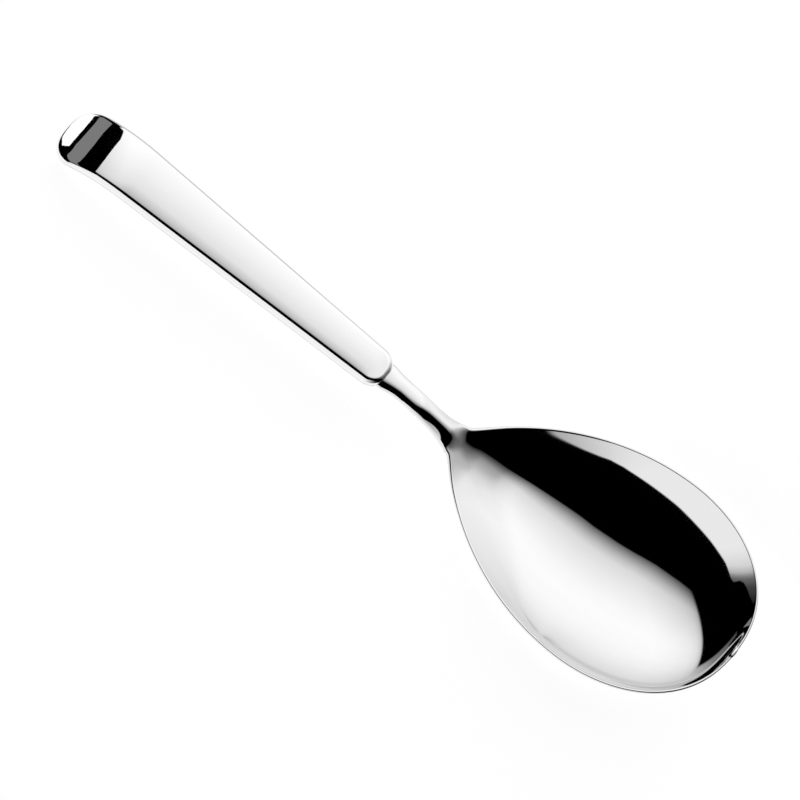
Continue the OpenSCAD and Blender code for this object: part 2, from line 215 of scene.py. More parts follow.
def blend3(x, at_neck, at_bowl, at_mouth):
    """A size along the forging, from its values at three places."""
    to_bowl = ease((x - SLIMMEST_X) / (ROOT_X + HEEL_LEN - SLIMMEST_X))
    to_mouth = ease((SLIMMEST_X - x) / NOSE_TO_SLIMMEST)
    return at_neck + (at_bowl - at_neck) * to_bowl + (at_mouth - at_neck) * to_mouth


def half_t(x):
    return blend3(x, NECK_T, BOWL_WALL, MOUTH_T) / 2


def edge_half_t(x):
    return blend3(x, NECK_EDGE_T, RIM_T, MOUTH_EDGE_T) / 2


def neck_half_w(x):
    neck = (NECK_W - NECK_EDGE_T) / 2
    mouth = (MOUTH_W - MOUTH_EDGE_T) / 2
    to_mouth = np.clip((SLIMMEST_X - x) / NOSE_TO_SLIMMEST, 0, 1)
    to_bowl = np.clip((x - SLIMMEST_X) / (ROOT_X - SLIMMEST_X), 0, 1)
    return neck + (mouth - neck) * to_mouth**2 + neck * to_bowl**FLARE_POWER


def forging_half_w(x):
    fade = 1 - ease((x - ROOT_X) / NECK_SIDE_LEN)
    both = bowl_half_w(x) ** BLEND_POWER + (neck_half_w(x) * fade) ** BLEND_POWER
    return both ** (1 / BLEND_POWER)


def rim_widest_z():
    """Height of the rim at the widest place, with the underside's lowest point on the floor."""
    x = np.linspace(HOLLOW_X, TIP_X, RIM_SAMPLES)
    return BOWL_WALL / 2 + np.max(hollow(x) - RIM_RISE * (x - WIDEST_X))


RIM_WIDEST_Z = rim_widest_z()


def rim_z(x):
    return RIM_WIDEST_Z + RIM_RISE * (x - WIDEST_X)


def line_z(x):
    return HANDLE_T / 2 + DROOP + HANDLE_RISE * (x - HANDLE_END_X)


def handle_z(x):
    pos = np.maximum(0, DROOP_LEN - x) / (DROOP_LEN - HANDLE_END_X)
    return line_z(x) - DROOP * pos**DROOP_POWER


def neck_z(x):
    """The neck leaves the handle in line with it and runs into the rim line."""
    length = NECK_TO_X - NECK_FROM_X
    t = (x - NECK_FROM_X) / length
    ends = line_z(NECK_FROM_X) * (2 * t**3 - 3 * t**2 + 1) + rim_z(NECK_TO_X) * (3 * t**2 - 2 * t**3)
    slopes = HANDLE_RISE * (t**3 - 2 * t**2 + t) + RIM_RISE * (t**3 - t**2)
    return ends + length * slopes


def edge_z(x):
    return np.where(x < NECK_FROM_X, line_z(x), np.where(x > NECK_TO_X, rim_z(x), neck_z(x)))


def ridge(x):
    """Rise of the neck's ridge over its edges."""
    rise = ROOT_RIDGE * ease((x - RIDGE_START_X) / (RIDGE_TOP_X - RIDGE_START_X))
    return rise * (1 - ease((x - RIDGE_TOP_X) / RIDGE_END_LEN))


def ridge_fall(v):
    return (v * v + RIDGE_ROUND) ** (RIDGE_POWER / 2)


def ridge_shape(v):
    """Share of the ridge's rise across the neck: 1 in the middle, 0 at the edges."""
    return (ridge_fall(1) - ridge_fall(v)) / (ridge_fall(1) - ridge_fall(0))


def bulge(x):
    """Section of the hollow: negative for an arc, positive for a valley with straight sides."""
    w = forging_half_w(x)
    h = hollow(x)
    arc = 2 * h * w / (w * w + h * h)
    valley = 1 - ease((x - HOLLOW_X) / (VALLEY_LEN_SHARE * HOLLOW_SIDE_LEN))
    return VALLEY_SHARE * valley - arc * arc * (1 - valley)


def section_rise(v, h, b):
    """Rise across the hollow, from 0 in its middle to its depth h at the edges."""
    return h * (1 + np.sqrt(1 + b)) * v * v / (1 + np.sqrt(np.maximum(0, 1 + b * v * v)))


def forging_z(x, y):
    """Middle surface of the forging, hung between the edge lines."""
    v = y / forging_half_w(x)
    across = section_rise(v, hollow(x), bulge(x)) + ridge(x) * ridge_shape(v)
    return edge_z(x) - hollow(x) + across


def flat_z(x, y):
    return handle_z(x) + 0 * y


def crowned_z(x, y):
    """The handle's middle surface with the rise of its upper face."""
    w = np.maximum(SMALL_STEP, handle_half_w(x))
    fade = ease((x - HANDLE_END_X) / END_ROUND_LEN) * ease((HANDLE_NOSE_X - x) / NOSE_CORNER_R)
    widest = (HANDLE_END_W - HANDLE_T) / 2
    return handle_z(x) + HANDLE_CROWN * fade * w / widest * np.maximum(0, 1 - (y / w) ** 2)


# ---- plates of varying thickness with rounded edges


class Plate:
    """A middle surface, its half width, and its half thickness at the middle and at the edge."""

    def __init__(self, surface, x, half_w, mid_t, edge_t):
        self.surface = surface
        self.x = x
        self.half_w = half_w
        self.mid_t = mid_t
        self.edge_t = edge_t

    def mid(self, i, v):
        """Point of the middle surface at station i and at a share v of the half width."""
        x = self.x[i]
        y = v * self.half_w[i]
        return np.stack([x, y, self.surface(x, y)], axis=-1)

    def normal(self, i, v):
        x = self.x[i]
        y = v * self.half_w[i]
        step = SMALL_STEP
        slope_x = (self.surface(x + step, y) - self.surface(x - step, y)) / (2 * step)
        slope_y = (self.surface(x, y + step) - self.surface(x, y - step)) / (2 * step)
        return unit(np.stack([-slope_x, -slope_y, np.ones_like(slope_x)], axis=-1))

    def thin(self, i):
        return 1 - (self.edge_t[i] / self.mid_t[i]) ** 2

    def across_t(self, i, v):
        return self.mid_t[i] * np.sqrt(1 - self.thin(i) * v * v)

    def across_slope(self, i, v):
        fall = self.mid_t[i] * self.thin(i) * v
        return -fall / (self.half_w[i] * np.sqrt(1 - self.thin(i) * v * v))

    def skin(self, i, v, side):
        """Point of the upper skin or, with side -1, of the lower one."""
        n = self.normal(i, v)
        across = unit(np.cross(n, [1.0, 0.0, 0.0]))
        h = self.across_t(i, v)[:, None]
        g = np.clip(self.across_slope(i, v), -STEEPEST, STEEPEST)[:, None]
        return self.mid(i, v) - h * g * across + side * h * np.sqrt(1 - g * g) * n

    def frame(self, i, v, out):
        """On the outline: the middle surface's point, its outward direction and its normal."""
        n = self.normal(i, v)
        flat = out - np.sum(out * n, axis=-1, keepdims=True) * n
        return self.mid(i, v), unit(flat), n


def round_point(frame, r, angle):
    """The point at an angle round the edge, from straight out (0) to the upper skin (90)."""
    mid, out, n = frame
    return mid + r[:, None] * (np.cos(angle)[:, None] * out + np.sin(angle)[:, None] * n)


def row_shares(rows):
    j = np.arange(rows + 1)
    return np.sin(ROW_SPREAD * (2 * j / rows - 1)) / np.sin(ROW_SPREAD)


class Outline:
    """Places along a plate's outline: the far side, round the last station, back along the near side
    and, unless the start is open, round the first station."""

    def __init__(self, plate, rows, open_start):
        last = len(plate.x) - 1
        before = np.maximum(0, np.arange(last + 1) - 1)
        after = np.minimum(last, np.arange(last + 1) + 1)
        drop = plate.half_w[before] - plate.half_w[after]
        run = plate.x[after] - plate.x[before]
        places = [(i, rows, (drop[i], run[i], 0)) for i in range(last)]
        places += [(last, j, (1, 0, 0)) for j in range(rows, -1, -1)]
        places += [(i, 0, (drop[i], -run[i], 0)) for i in range(last - 1, -1, -1)]
        if not open_start:
            places += [(0, j, (-1, 0, 0)) for j in range(1, rows)]
        self.station = np.array([p[0] for p in places])
        self.row = np.array([p[1] for p in places])
        self.v = row_shares(rows)[self.row]
        self.out = unit(np.array([p[2] for p in places], dtype=float))
        self.count = len(places)


def skin_points(plate, rows, side):
    i = np.repeat(np.arange(len(plate.x)), rows + 1)
    v = np.tile(row_shares(rows), len(plate.x))
    return plate.skin(i, v, side)


def quad(a, b, c, d, outside):
    return (a, b, c, d) if outside else (a, d, c, b)


def grid_faces(count, rows, base, outside):
    faces = []
    for i in range(count - 1):
        for j in range(rows):
            a = base + i * (rows + 1) + j
            faces.append(quad(a, a + 1, a + rows + 2, a + rows + 1, outside))
    return faces


def plate_mesh(plate, rows, open_start):
    """Points and faces of a closed plate, whose first station ends flat if the start is open."""
    count = len(plate.x)
    outline = Outline(plate, rows, open_start)
    base = count * (rows + 1)
    inner = EDGE_STEPS - 1
    frame = plate.frame(outline.station, outline.v, outline.out)
    r = plate.across_t(outline.station, outline.v)
    slope = plate.across_slope(outline.station, np.ones(outline.count))
    start = np.arccos(np.minimum(STEEPEST, -slope))
    edge = [round_point(frame, r, start * (1 - 2 * k / EDGE_STEPS)) for k in range(1, EDGE_STEPS)]
    edge = np.stack(edge, axis=1).reshape(-1, 3)
    points = np.concatenate([skin_points(plate, rows, 1), skin_points(plate, rows, -1), edge])

    def ring(o, k):
        on_skin = outline.station[o] * (rows + 1) + outline.row[o]
        if k == 0:
            return on_skin
        if k == EDGE_STEPS:
            return base + on_skin
        return 2 * base + o * inner + k - 1

    faces = grid_faces(count, rows, 0, True) + grid_faces(count, rows, base, False)
    for o in range(outline.count - (1 if open_start else 0)):
        p = (o + 1) % outline.count
        for k in range(EDGE_STEPS):
            faces.append((ring(o, k), ring(o, k + 1), ring(p, k + 1), ring(p, k)))
    if open_start:
        last = outline.count - 1
        cap = list(range(rows, -1, -1)) + [ring(last, k) for k in range(1, EDGE_STEPS)]
        cap += [base + j for j in range(rows + 1)] + [ring(0, k) for k in range(inner, 0, -1)]
        faces.append(tuple(cap))
    return points, faces


def forging_plate():
    start = HANDLE_LEN - NECK_INSIDE
    tip_len = TIP_SIDE_LEN - 2 * SMALL_STEP
    x = np.concatenate([
        start + np.arange(NECK_STATIONS) / NECK_STATIONS * (ROOT_X - start),
        ROOT_X + np.arange(ROOT_STATIONS) / ROOT_STATIONS * NECK_SIDE_LEN,
        WIDEST_X + tip_len * np.sin(np.pi / 2 * np.arange(TIP_STATIONS + 1) / TIP_STATIONS),
    ])
    return Plate(forging_z, x, forging_half_w(x), half_t(x), edge_half_t(x))


# ---- the hollow handle


def handle_half_w(x):
    taper = HANDLE_END_W + (HANDLE_NOSE_W - HANDLE_END_W) * x / HANDLE_LEN
    end = np.clip((x - HANDLE_END_X) / END_ROUND_LEN, 0, 1)
    end_share = (1 - (1 - end) ** END_CORNER_POWER) ** (1 / END_CORNER_POWER)
    to_nose = np.clip(HANDLE_NOSE_X - x, 0, NOSE_MID_R)
    nose_cut = NOSE_MID_R - np.sqrt(NOSE_MID_R**2 - (NOSE_MID_R - to_nose) ** 2)
    return (taper - HANDLE_T) / 2 * end_share - nose_cut


def handle_plate(thickness, surface=flat_z):
    straight_from = HANDLE_END_X + END_ROUND_LEN
    straight_to = HANDLE_NOSE_X - NOSE_MID_R
    turn = np.pi / 2 * np.arange(HANDLE_END_STATIONS + 1) / HANDLE_END_STATIONS
    x = np.concatenate([
        straight_from - (END_ROUND_LEN - SMALL_STEP) * np.cos(turn[:-1]),
        np.linspace(straight_from, DROOP_LEN, DROOP_STATIONS, endpoint=False),
        np.linspace(DROOP_LEN, straight_to, HANDLE_STATIONS, endpoint=False),
        straight_to + NOSE_MID_R * np.sin(turn),
    ])
    t = np.full_like(x, thickness / 2)
    return Plate(surface, x, handle_half_w(x), t, t)


def end_level(x, y):
    """Height above the middle surface at which a shell ends: on the weld bead, or over the mouth."""
    over = OVAL_HALF_H * np.sqrt(np.maximum(0, 1 - (y / OVAL_HALF_W) ** 2))
    return np.where(x < HANDLE_LEN / 2, WELD_H / 2, np.maximum(WELD_H / 2, over))


def shell_edge(plate, outline, side):
    """Points of the rounded edge of a shell, from its skin to the level where it ends."""
    frame = plate.frame(outline.station, outline.v, outline.out)
    r = plate.mid_t[outline.station]
    level = np.full(outline.count, WELD_H / 2)
    for _ in range(LEVEL_PASSES):
        level = end_level(frame[0][:, 0], round_point(frame, r, np.arcsin(level / r))[:, 1])
    last = np.arcsin(level / r)
    turn = np.pi / 2
    rings = [
        round_point(frame, r, side * (turn - (turn - last) * k / SHELL_STEPS))
        for k in range(1, SHELL_STEPS + 1)
    ]
    return np.stack(rings, axis=1).reshape(-1, 3)


def shell_mesh(side):
    """Half of the handle's skin as a closed sheet, from the weld bead up or, with side -1, down."""
    outer = handle_plate(HANDLE_T)
    inside = handle_plate(INNER_T)
    rows = HANDLE_ROWS
    outline = Outline(outer, rows, False)
    count = len(outer.x)
    base = count * (rows + 1)
    up = side > 0
    surface = crowned_z if up else flat_z
    points = np.concatenate([
        skin_points(handle_plate(HANDLE_T, surface), rows, side),
        skin_points(handle_plate(INNER_T, surface), rows, side),
        shell_edge(outer, outline, side),
        shell_edge(inside, outline, side),
    ])

    def ring(o, k, skin):
        if k == 0:
            return skin * base + outline.station[o] * (rows + 1) + outline.row[o]
        return 2 * base + skin * outline.count * SHELL_STEPS + o * SHELL_STEPS + k - 1

    faces = grid_faces(count, rows, 0, up) + grid_faces(count, rows, base, not up)
    for o in range(outline.count):
        p = (o + 1) % outline.count
        for skin in (0, 1):
            for k in range(SHELL_STEPS):
                a, b = ring(o, k, skin), ring(o, k + 1, skin)
                c, d = ring(p, k + 1, skin), ring(p, k, skin)
                faces.append(quad(a, b, c, d, up == (skin == 0)))
        k = SHELL_STEPS
        faces.append(quad(ring(o, k, 0), ring(o, k, 1), ring(p, k, 1), ring(p, k, 0), up))
    return points, faces


def weld_mesh():
    """The bead between the two shells, from one side of the mouth round the handle to the other."""
    plate = handle_plate(HANDLE_T)
    outline = Outline(plate, HANDLE_ROWS, False)
    frame = plate.frame(outline.station, outline.v, outline.out)
    corners = []
    for t, sign in ((HANDLE_T, 1), (HANDLE_T, -1), (INNER_T, -1), (INNER_T, 1)):
        angle = np.full(outline.count, sign * np.arcsin(WELD_H / t))
        corners.append(round_point(frame, np.full(outline.count, t / 2), angle))
    corners = np.stack(corners, axis=1)
    in_mouth = (corners[:, 0, 0] > HANDLE_LEN / 2) & (np.abs(corners[:, 2, 1]) < OVAL_HALF_W)
    inside = np.flatnonzero(in_mouth)
    chain = np.concatenate([corners[inside[-1] + 1 :], corners[: inside[0]]])
    faces = []
    for o in range(len(chain) - 1):
        for k in range(4):
            a, b = 4 * o + k, 4 * o + (k + 1) % 4
            faces.append((a, b, b + 4, a + 4))
    last = 4 * (len(chain) - 1)
    faces += [(0, 3, 2, 1), (last, last + 1, last + 2, last + 3)]
    return chain.reshape(-1, 3), faces


def braze_mesh():
    """The ring of braze between the neck and the handle's mouth."""
    start = HANDLE_NOSE_X - HANDLE_T / 2
    front_half = HANDLE_NOSE_W / 2 - NOSE_CORNER_R
    end = HANDLE_LEN - NOSE_CORNER_R + np.sqrt(NOSE_CORNER_R**2 - (OVAL_HALF_W - front_half) ** 2)
    length = (end - start) / np.cos(np.radians(HANDLE_ANGLE))
    along = np.array([np.cos(np.radians(HANDLE_ANGLE)), 0, np.sin(np.radians(HANDLE_ANGLE))])
    up = np.array([-along[2], 0, along[0]])
    origin = np.array([start, 0, line_z(start)])
    turn = 2 * np.pi * np.arange(OVAL_STEPS) / OVAL_STEPS
    rings = []
    for gap, place in ((BRAZE_GAP, 0), (BRAZE_GAP, length), (0, length), (0, 0)):
        wide = (MOUTH_W / 2 + gap) * np.sin(turn)[:, None] * np.array([0, 1.0, 0])
        high = (MOUTH_T / 2 + gap) * np.cos(turn)[:, None] * up
        rings.append(origin + place * along + wide + high)
    points = np.concatenate(rings)
    faces = []
    for ring in range(4):
        for k in range(OVAL_STEPS):
            a, b = ring * OVAL_STEPS + k, ring * OVAL_STEPS + (k + 1) % OVAL_STEPS
            step = OVAL_STEPS if ring < 3 else -3 * OVAL_STEPS
            faces.append((a, a + step, b + step, b))
    return points, faces


# ---- pieces


def to_shared_frame(points):
    """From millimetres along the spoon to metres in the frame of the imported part."""
    return (points - np.array([OVERALL_LEN / 2, 0, 0])) * MM


def make_piece(name, points, faces, material, node, slot):
    mesh = bpy.data.meshes.new(name)
    corners = [tuple(p) for p in to_shared_frame(points)]
    mesh.from_pydata(corners, [], [tuple(int(i) for i in f) for f in faces])
    mesh.materials.append(material)
    mesh.polygons.foreach_set("use_smooth", [True] * len(mesh.polygons))
    mesh.update()
    piece = bpy.data.objects.new(name, mesh)
    bpy.context.collection.objects.link(piece)
    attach(piece, "root")
    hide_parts(node)


def new_material(name):
    material = bpy.data.materials.new(name)
    material.use_nodes = True
    nodes = material.node_tree.nodes
    return material, nodes, material.node_tree.links, nodes["Principled BSDF"]


def noise(nodes, links, place, scale, detail):
    node = nodes.new("ShaderNodeTexNoise")
    node.inputs["Scale"].default_value = scale
    node.inputs["Detail"].default_value = detail
    links.new(place, node.inputs["Vector"])
    return node.outputs["Fac"]


def tint(nodes, links, share, dark, light, shader):
    """Colours the shader from dark to light by a share."""
    ramp = nodes.new("ShaderNodeValToRGB")
    ramp.color_ramp.elements[0].color = (*dark, 1)
    ramp.color_ramp.elements[1].color = (*light, 1)
    links.new(share, ramp.inputs["Fac"])
    links.new(ramp.outputs["Color"], shader.inputs["Base Color"])


def polished_steel(name, colour):
    """Mirror polish with faint lines along the spoon from the last buffing."""
    material, nodes, links, shader = new_material(name)
    shader.inputs["Metallic"].default_value = 1
    stretch = nodes.new("ShaderNodeMapping")
    stretch.inputs["Scale"].default_value = BUFFING_STRETCH
    links.new(nodes.new("ShaderNodeTexCoord").outputs["Object"], stretch.inputs["Vector"])
    lines = noise(nodes, links, stretch.outputs["Vector"], 1, BUFFING_DETAIL)
    rough = nodes.new("ShaderNodeMapRange")
    rough.inputs["To Min"].default_value = POLISH * (1 - POLISH_SPREAD)
    rough.inputs["To Max"].default_value = POLISH * (1 + POLISH_SPREAD)
    links.new(lines, rough.inputs["Value"])
    links.new(rough.outputs["Result"], shader.inputs["Roughness"])
    dark = [c * (1 - TINT_SPREAD) for c in colour]
    light = [c * (1 + TINT_SPREAD) for c in colour]
    tint(nodes, links, lines, dark, light, shader)
    return material


def grained(name, dark, light, roughness, scale, detail):
    """A dull material with a fine grain in its colour, and its shader."""
    material, nodes, links, shader = new_material(name)
    shader.inputs["Roughness"].default_value = roughness
    place = nodes.new("ShaderNodeTexCoord").outputs["Object"]
    tint(nodes, links, noise(nodes, links, place, scale, detail), dark, light, shader)
    return material, shader


def dull_metal(name, colour, roughness):
    dark = [c * DULL_DARKEST for c in colour]
    material, shader = grained(name, dark, colour, roughness, METAL_GRAIN, METAL_DETAIL)
    shader.inputs["Metallic"].default_value = 1
    return material


def make_spoon():
    forged = polished_steel("forged_steel", FORGED_GREY)
    sheet = polished_steel("handle_steel", HANDLE_GREY)
    bead = dull_metal("weld_bead", WELD_GREY, WELD_ROUGHNESS)
    braze = dull_metal("braze", BRAZE_GREY, BRAZE_ROUGHNESS)
    points, faces = plate_mesh(forging_plate(), BOWL_ROWS, True)
    make_piece("forging", points, faces, forged, "bowl_and_neck", "forged_steel")
    make_piece("top_shell", *shell_mesh(1), sheet, "handle_top_shell", "handle_steel")
    make_piece("bottom_shell", *shell_mesh(-1), sheet, "handle_bottom_shell", "handle_steel")
    make_piece("weld_bead", *weld_mesh(), bead, "seam_weld", "weld")
    make_piece("braze_ring", *braze_mesh(), braze, "neck_braze", "braze")


# ---- studio


def make_card(name, corners, faces, material):
    """A glowing part of the studio, which the camera doesn't see."""
    mesh = bpy.data.meshes.new(name)
    mesh.from_pydata(corners, [], faces)
    mesh.materials.append(material)
    card = bpy.data.objects.new(name, mesh)
    bpy.context.collection.objects.link(card)
    card.visible_camera = False
    return card


def emission(name, strength):
    material = bpy.data.materials.new(name)
    material.use_nodes = True
    nodes = material.node_tree.nodes
    nodes.clear()
    out = nodes.new("ShaderNodeOutputMaterial")
    glow = nodes.new("ShaderNodeEmission")
    glow.inputs["Strength"].default_value = strength
    material.node_tree.links.new(glow.outputs["Emission"], out.inputs["Surface"])
    return material, nodes, material.node_tree.links, glow


class Wiring:
    """Short calls for the number nodes of one material."""

    def __init__(self, nodes, links):
        self.nodes = nodes
        self.links = links

    def put(self, value, socket):
        if isinstance(value, (int, float)):
            socket.default_value = value
        else:
            self.links.new(value, socket)

    def math(self, operation, a, b=0.0):
        node = self.nodes.new("ShaderNodeMath")
        node.operation = operation
        self.put(a, node.inputs[0])
        self.put(b, node.inputs[1])
        return node.outputs["Value"]

    def along(self, direction, x, y, z):
        """How far a direction points along (x, y, z)."""
        node = self.nodes.new("ShaderNodeVectorMath")
        node.operation = "DOT_PRODUCT"
        self.links.new(direction, node.inputs[0])
        node.inputs[1].default_value = (x, y, z)
        return node.outputs["Value"]

    def degrees(self, across, ahead):
        """Angle from straight ahead, in degrees."""
        return self.math("DEGREES", self.math("ARCTAN2", across, ahead))

    def step(self, value, start, end):
        """Smooth step from 0 to 1."""
        node = self.nodes.new("ShaderNodeMapRange")
        node.interpolation_type = "SMOOTHSTEP"
        self.put(value, node.inputs["Value"])
        node.inputs["From Min"].default_value = start
        node.inputs["From Max"].default_value = end
        return node.outputs["Result"]

    def ramp(self, value, stops):
        """Grey level from stops of (value, level); levels are at most 1."""
        first, last = stops[0][0], stops[-1][0]
        share = self.nodes.new("ShaderNodeMapRange")
        self.put(value, share.inputs["Value"])
        share.inputs["From Min"].default_value = first
        share.inputs["From Max"].default_value = last
        ramp = self.nodes.new("ShaderNodeValToRGB")
        elements = ramp.color_ramp.elements
        for _ in stops[2:]:
            elements.new(0.5)
        for element, (place, level) in zip(elements, stops):
            element.position = (place - first) / (last - first)
            element.color = (level, level, level, 1)
        self.links.new(share.outputs["Result"], ramp.inputs["Fac"])
        return ramp.outputs["Color"]

    def mix(self, share, a, b):
        """a where the share is 0, b where it is 1."""
        return self.math("ADD", a, self.math("MULTIPLY", share, self.math("SUBTRACT", b, a)))


# The light tent, as seen from the spoon. The values of its curves, and the outlines of the small
# cards further down, are fitted: borders and grey levels were measured on the steel in the photograph
# and followed to the directions that the steel mirrors. They suit this spoon at this place, and the
# real studio may have been another.
# LOWEST is the least height that a direction counts as having. The roof's glow goes by degrees from
# the zenith to the far side.
TENT_R = 3.0
TENT_STRENGTH = 1.16
TENT_AROUND = 48
TENT_UP = 14
LOWEST = 0.001
TENT_GLOW = [
    (-0.2, 0.0), (0.5, 0.12), (3, 0.26), (7.5, 0.52), (12, 0.72), (21, 0.83), (29, 0.905),
    (36, 0.965), (46, 1.0), (60, 0.97), (70, 0.90), (80, 0.79), (85, 0.73), (90, 0.48),
]
# The roof's near edge isn't straight: how far it bends, as a share of BEND_DEGREES, by x / z. At
# BEND_MIDDLE it lies where TENT_GLOW says.
BEND_DEGREES = 4.0
BEND_MIDDLE = 0.45
ROOF_BEND = [
    (-0.75, 0.3), (-0.5, 0.0), (-0.3, 0.0), (-0.2, 0.25), (-0.1, 0.7), (0.0, 0.9), (0.1, 0.75),
    (0.25, 0.45), (0.36, 0.5), (0.5, 0.0), (0.7, 0.0), (0.85, 0.45), (1.0, 1.0),
]
# Past the roof's edge on the bowl's side: how much of the glow is left, by how squarely a place lies
# there. A low place counts as lying TIP_LOW less squarely, by z.
TIP_AZIMUTH = np.radians(-20)
TO_TIP = (float(np.cos(TIP_AZIMUTH)), float(np.sin(TIP_AZIMUTH)), 0)
TIP_EDGE = (1, 0, -0.25)
TIP_BLEND = 0.10
TIP_LOW = [(0.2, 0.15), (0.36, 0.09), (0.62, 0.0)]
TIP_GLOW = [
    (-0.05, 0.95), (0.0, 0.90), (0.065, 0.83), (0.13, 0.70), (0.20, 0.53), (0.29, 0.43), (0.40, 0.28),
    (0.54, 0.16), (0.67, 0.11), (1.0, 0.05),
]
# The roof's straight edge on the handle's side, and how it brightens from there
END_EDGE = (0.93, 1, 0.65)
END_GLOW = [
    (0.03, 0.0), (0.05, 0.35), (0.065, 0.6), (0.12, 0.76), (0.22, 0.86), (0.4, 0.94), (0.6, 1.0),
]
# The white card on the near side: its upper edge as -y / z by x / z, and its glow by azimuth, in
# degrees from straight near (0) to the bowl's side (90) and to the handle's side (-90)
NEAR_TOP = [
    (-2.4, 0.63), (-1.9, 0.66), (-1.6, 0.66), (-1.4, 0.61), (-1.2, 0.49), (-1.1, 0.50), (-0.9, 0.61),
    (-0.6, 0.69), (-0.2, 0.77), (0.2, 0.82), (0.3, 0.8), (0.4, 0.7), (0.5, 0.61), (0.6, 0.55),
]
NEAR_GLOW = [
    (-90, 0.01), (-80, 0.015), (-75, 0.04), (-70, 0.065), (-65, 0.16), (-63, 0.3), (-61, 0.54),
    (-57, 0.8), (-50, 0.95), (-45, 1.0), (4, 1.0), (12, 0.94), (18, 0.87), (26, 0.72), (37, 0.5),
    (45, 0.3), (62, 0.0),
]
NEAR_LEVEL = 0.83
NEAR_BLEND = 0.03
NEAR_SIDE_BLEND = 0.02
# A strip over the floor on the handle's side: its glow by azimuth, in degrees from the far side (0),
# and the heights at which it starts and is full
STRIP_GLOW = [
    (30, 0.6), (45, 0.53), (60, 0.19), (75, 0.08), (90, 0.01), (98, 0.1), (104, 0.5), (112, 0.7),
]
STRIP_TOP = 0.22
STRIP_FULL = 0.16
STRIP_BLEND = 0.05


class TentPlace:
    """Where on the tent a direction points, as the numbers that its glow follows from."""

    def __init__(self, wiring, direction):
        self.wiring = wiring
        self.direction = direction
        self.x = self.towards((1, 0, 0))
        self.y = self.towards((0, 1, 0))
        self.z = self.towards((0, 0, 1))
        self.near = wiring.math("MULTIPLY", self.y, -1)
        self.height = wiring.math("MAXIMUM", self.z, LOWEST)
        self.along = wiring.math("DIVIDE", self.x, self.height)

    def towards(self, axis):
        return self.wiring.along(self.direction, *axis)


def roof_glow(wiring, place):
    """Bright overhead and on the far side, and dimmer towards the bowl's side."""
    off_middle = wiring.math("SUBTRACT", wiring.ramp(place.along, ROOF_BEND), BEND_MIDDLE)
    bend = wiring.math("MULTIPLY", off_middle, BEND_DEGREES)
    angle = wiring.math("SUBTRACT", wiring.degrees(place.y, place.height), bend)
    overhead = wiring.ramp(angle, TENT_GLOW)
    squarely = wiring.math("SUBTRACT", place.towards(TO_TIP), wiring.ramp(place.z, TIP_LOW))
    past_edge = wiring.step(place.towards(TIP_EDGE), 0.0, TIP_BLEND)
    dimmed = wiring.mix(past_edge, 1.0, wiring.ramp(squarely, TIP_GLOW))
    from_end = wiring.ramp(place.towards(END_EDGE), END_GLOW)
    return wiring.math("MULTIPLY", wiring.math("MULTIPLY", overhead, dimmed), from_end)


def strip_glow(wiring, place):
    """The strip over the floor, on the handle's side only."""
    azimuth = wiring.degrees(wiring.math("MULTIPLY", place.x, -1), place.y)
    low = wiring.step(place.z, STRIP_TOP, STRIP_FULL)
    strip = wiring.math("MULTIPLY", wiring.ramp(azimuth, STRIP_GLOW), low)
    return wiring.math("MULTIPLY", strip, wiring.step(place.x, 0.0, -STRIP_BLEND))


def near_card(wiring, place):
    """The near card's share of a place, and its glow there."""
    nearness = wiring.math("DIVIDE", place.near, place.height)
    below_top = wiring.math("SUBTRACT", nearness, wiring.ramp(place.along, NEAR_TOP))
    on_near_side = wiring.step(place.y, 0.0, -NEAR_SIDE_BLEND)
    share = wiring.math("MULTIPLY", wiring.step(below_top, 0.0, NEAR_BLEND), on_near_side)
    azimuth = wiring.degrees(place.x, place.near)
    return share, wiring.math("MULTIPLY", wiring.ramp(azimuth, NEAR_GLOW), NEAR_LEVEL)


def tent_glow(wiring, direction):
    """Brightness of the tent in a direction."""
    place = TentPlace(wiring, direction)
    strip = strip_glow(wiring, place)
    roof = wiring.math("MAXIMUM", roof_glow(wiring, place), strip)
    share, card = near_card(wiring, place)
    return wiring.mix(share, roof, wiring.math("MAXIMUM", card, strip))


def dome(r, around, up):
    """Points and faces of a half sphere that stands on the floor."""
    points = []
    for j in range(up):
        level = np.pi / 2 * j / up
        for i in range(around):
            turn = 2 * np.pi * i / around
            points.append((np.cos(level) * np.cos(turn), np.cos(level) * np.sin(turn), np.sin(level)))
    points.append((0, 0, 1))
    faces = []
    for j in range(up - 1):
        for i in range(around):
            a, b = j * around + i, j * around + (i + 1) % around
            faces.append((a, b, b + around, a + around))
    last = (up - 1) * around
    faces += [(last + i, last + (i + 1) % around, len(points) - 1) for i in range(around)]
    return [tuple(r * c for c in p) for p in points], faces


def make_tent():
    """A half sphere of glowing cloth, lit unevenly, over the spoon and the floor."""
    material, nodes, links, glow = emission("light_tent", TENT_STRENGTH)
    place = nodes.new("ShaderNodeNewGeometry")
    direction = nodes.new("ShaderNodeVectorMath")
    direction.operation = "NORMALIZE"
    links.new(place.outputs["Position"], direction.inputs[0])
    links.new(tent_glow(Wiring(nodes, links), direction.outputs["Vector"]), glow.inputs["Color"])
    make_card("light_tent", *dome(TENT_R, TENT_AROUND, TENT_UP), material)


